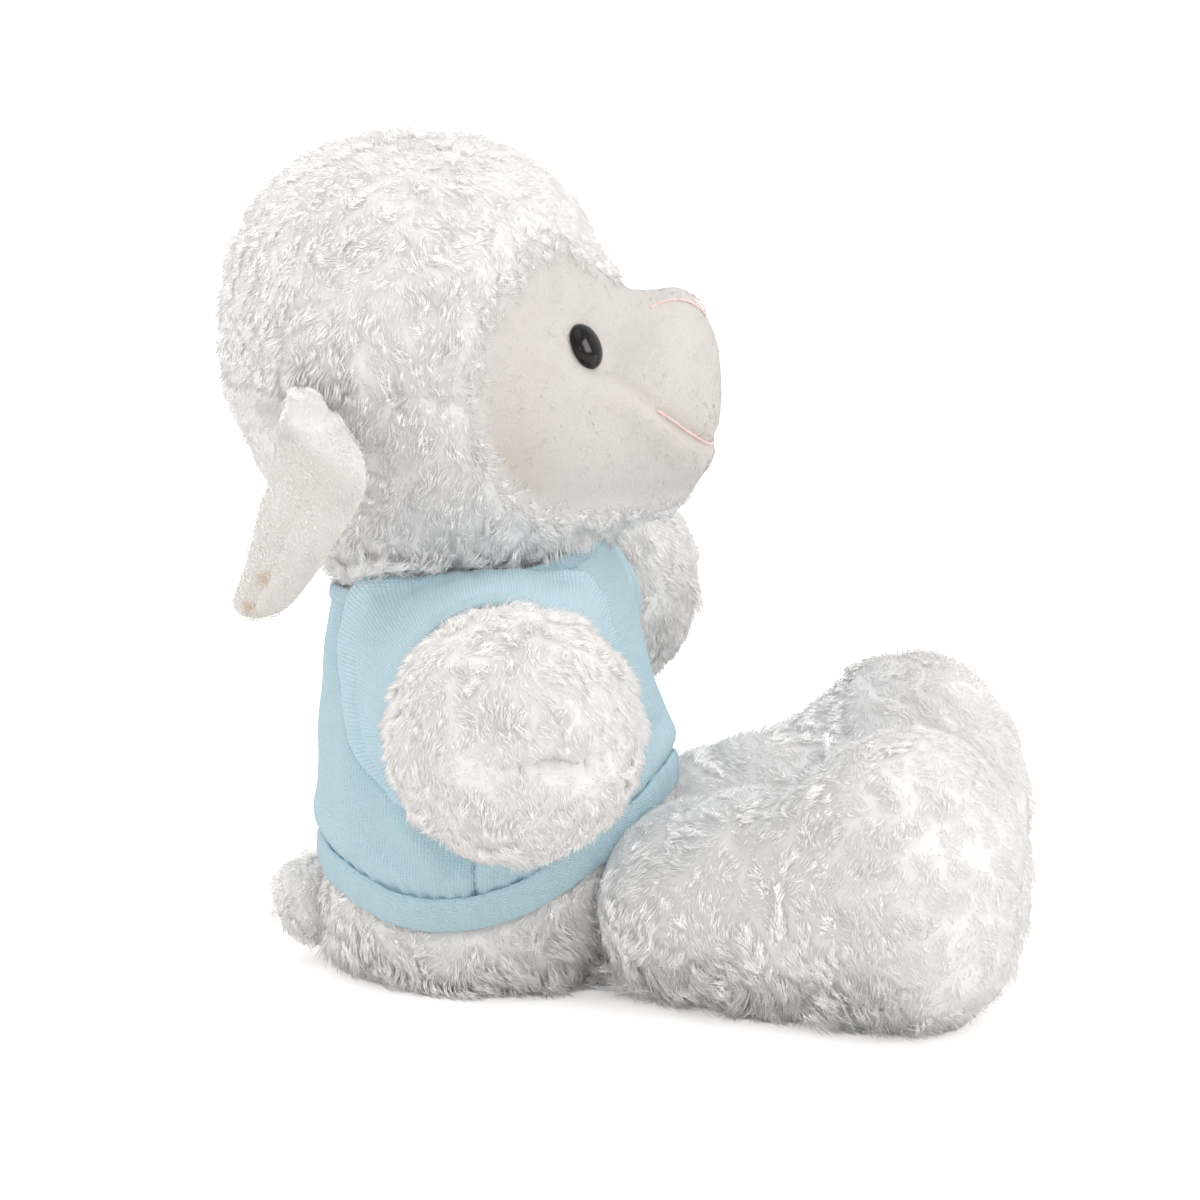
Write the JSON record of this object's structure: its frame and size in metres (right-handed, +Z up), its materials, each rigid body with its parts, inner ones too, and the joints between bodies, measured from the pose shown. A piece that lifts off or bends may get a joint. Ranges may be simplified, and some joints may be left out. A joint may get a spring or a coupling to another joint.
{
  "type": "plush lamb",
  "caption": "Seated plush lamb with a curly wool coat, short-pile face, floppy ears, snap-in eyes and a knitted tee, stuffed with fibre and a pellet pouch.",
  "frame": {"origin": "centre of the flat seat under the trunk, on the surface that the lamb sits on", "axes": "+X the way the lamb faces, +Y to its left, +Z up"},
  "size_m": [0.1871, 0.2042, 0.1962],
  "materials": {
    "wool_plush": "curly long-pile plush",
    "cream_velboa": "short-pile plush",
    "blue_knit": "fine jersey knit",
    "blue_rib": "folded jersey binding",
    "polyester_fibre": "loose fibre",
    "pouch_cloth": "plain woven",
    "eye_plastic": "polished",
    "washer_plastic": "moulded"
  },
  "bodies": {
    "trunk": {"trunk_cover": "wool_plush", "trunk_filling": "polyester_fibre", "pellet_pouch": "pouch_cloth", "tee_front_panel": "blue_knit", "tee_back_panel": "blue_knit", "tee_neck_band": "blue_rib", "tee_hem_band": "blue_rib", "tee_right_armhole_band": "blue_rib", "tee_left_armhole_band": "blue_rib"},
    "neck": {"neck_filling": "polyester_fibre"},
    "head": {"head_wool_cover": "wool_plush", "face_cover": "cream_velboa", "head_filling": "polyester_fibre", "right_eye": "eye_plastic", "left_eye": "eye_plastic", "right_eye_washer": "washer_plastic", "left_eye_washer": "washer_plastic"},
    "right_ear": {"right_ear_front": "cream_velboa", "right_ear_back": "cream_velboa"},
    "left_ear": {"left_ear_front": "cream_velboa", "left_ear_back": "cream_velboa"},
    "right_arm": {"right_arm_cover": "wool_plush", "right_arm_filling": "polyester_fibre"},
    "left_arm": {"left_arm_cover": "wool_plush", "left_arm_filling": "polyester_fibre"},
    "right_leg": {"right_leg_cover": "wool_plush", "right_leg_filling": "polyester_fibre"},
    "left_leg": {"left_leg_cover": "wool_plush", "left_leg_filling": "polyester_fibre"},
    "tail": {"tail_cover": "wool_plush", "tail_filling": "polyester_fibre"}
  },
  "joints": [
    {"name": "head_turn", "type": "hinge", "parent": "trunk", "child": "neck", "pos_m": [-0.008, 0, 0.133], "axis": [-0.1736, 0, 0.9848], "range_deg": [-30, 30], "stiffness_Nm_per_rad": 0.06},
    {"name": "head_nod", "type": "hinge", "parent": "neck", "child": "head", "pos_m": [-0.008, 0, 0.133], "axis": [0, 1, 0], "range_deg": [-15, 5], "stiffness_Nm_per_rad": 0.08},
    {"name": "right_ear_flop", "type": "hinge", "parent": "head", "child": "right_ear", "pos_m": [-0.036, -0.04422, 0.141], "axis": [-0.9233, 0.384, 0], "range_deg": [-8, 45], "stiffness_Nm_per_rad": 0.003},
    {"name": "left_ear_flop", "type": "hinge", "parent": "head", "child": "left_ear", "pos_m": [-0.036, 0.04422, 0.141], "axis": [0.9233, 0.384, 0], "range_deg": [-8, 45], "stiffness_Nm_per_rad": 0.003},
    {"name": "right_arm_lift", "type": "hinge", "parent": "trunk", "child": "right_arm", "pos_m": [0.004, -0.043, 0.076], "axis": [-1, 0, 0], "range_deg": [-16, 30], "stiffness_Nm_per_rad": 0.03},
    {"name": "left_arm_lift", "type": "hinge", "parent": "trunk", "child": "left_arm", "pos_m": [0.004, 0.043, 0.076], "axis": [1, 0, 0], "range_deg": [-26, 20], "stiffness_Nm_per_rad": 0.03},
    {"name": "right_leg_swing", "type": "hinge", "parent": "trunk", "child": "right_leg", "pos_m": [0.05, -0.025, 0.0226], "axis": [0, -1, 0], "range_deg": [-50, 25], "stiffness_Nm_per_rad": 0.05},
    {"name": "left_leg_swing", "type": "hinge", "parent": "trunk", "child": "left_leg", "pos_m": [0.05, 0.025, 0.0226], "axis": [0, -1, 0], "range_deg": [-50, 25], "stiffness_Nm_per_rad": 0.05},
    {"name": "tail_wag", "type": "hinge", "parent": "trunk", "child": "tail", "pos_m": [-0.04, 0, 0.017], "axis": [0, 0, 1], "range_deg": [-25, 25], "stiffness_Nm_per_rad": 0.004}
  ]
}
